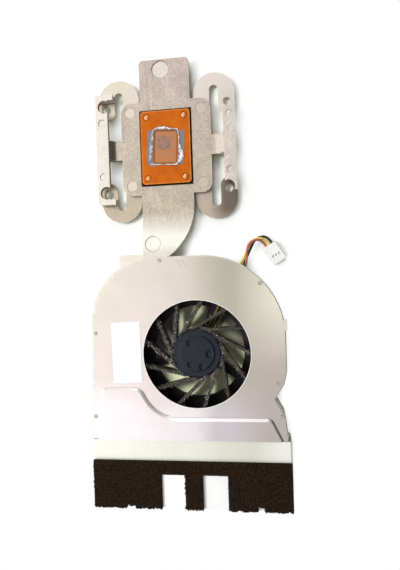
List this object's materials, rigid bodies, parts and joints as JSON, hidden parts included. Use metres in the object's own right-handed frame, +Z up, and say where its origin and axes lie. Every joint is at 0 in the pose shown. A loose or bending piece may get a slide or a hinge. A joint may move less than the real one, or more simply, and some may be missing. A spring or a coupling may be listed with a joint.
{
  "type": "laptop cooling fan heatsink",
  "caption": "Flat laptop processor cooler: die-cast frame with a copper pad and spring plates, a blower fan under a sheet cover, a hidden heat pipe, and a fin outlet with a foam seal.",
  "frame": {"origin": "on the fan axis, in the plane of the flat underside", "axes": "+Z up out of the fan's inlet, +Y from the fan towards the processor plate, along the length"},
  "size_m": [0.0757, 0.1699, 0.0117],
  "materials": {
    "cast_aluminium": "die-cast grain, satin",
    "copper": "satin copper",
    "thermal_compound": "dry, matte",
    "spring_steel": "satin",
    "rivet_aluminium": "satin",
    "cover_sheet": "satin stamped sheet",
    "label_paper": "matte paper",
    "fin_sheet": "satin",
    "foam": "open fibrous foam",
    "black_plastic": "moulded",
    "impeller_plastic": "moulded, dusty",
    "steel": "turned",
    "bearing_bronze": "sintered",
    "thrust_nylon": "moulded",
    "circuit_board": "solder resist",
    "core_steel": "laminated",
    "winding_copper": "enamelled",
    "ferrite": "matte",
    "insulation_yellow": "smooth",
    "insulation_black": "smooth",
    "insulation_red": "smooth",
    "connector_plastic": "moulded",
    "contact_brass": "plated"
  },
  "bodies": {
    "module": {"heatsink_casting": "cast_aluminium", "heat_pipe": "copper", "copper_pad": "copper", "pad_rivets": "copper", "thermal_pad": "thermal_compound", "left_spring_plate": "spring_steel", "right_spring_plate": "spring_steel", "spring_rivets": "rivet_aluminium", "fan_cover": "cover_sheet", "cover_label": "label_paper", "fin_stack": "fin_sheet", "fin_cover": "fin_sheet", "foam_seal": "foam", "motor_bracket": "black_plastic", "bracket_screws": "steel", "bearing_sleeve": "bearing_bronze", "thrust_plate": "thrust_nylon", "motor_board": "circuit_board", "stator_core": "core_steel", "stator_windings": "winding_copper", "lead_yellow": "insulation_yellow", "lead_black": "insulation_black", "lead_red": "insulation_red", "lead_connector": "connector_plastic", "connector_contacts": "contact_brass"},
    "rotor": {"impeller": "impeller_plastic", "rotor_yoke": "steel", "magnet_ring": "ferrite", "rotor_shaft": "steel"}
  },
  "joints": [
    {"name": "fan_spin", "type": "hinge", "parent": "module", "child": "rotor", "pos_m": [0, 0, 0], "axis": [0, 0, 1], "continuous": true}
  ]
}
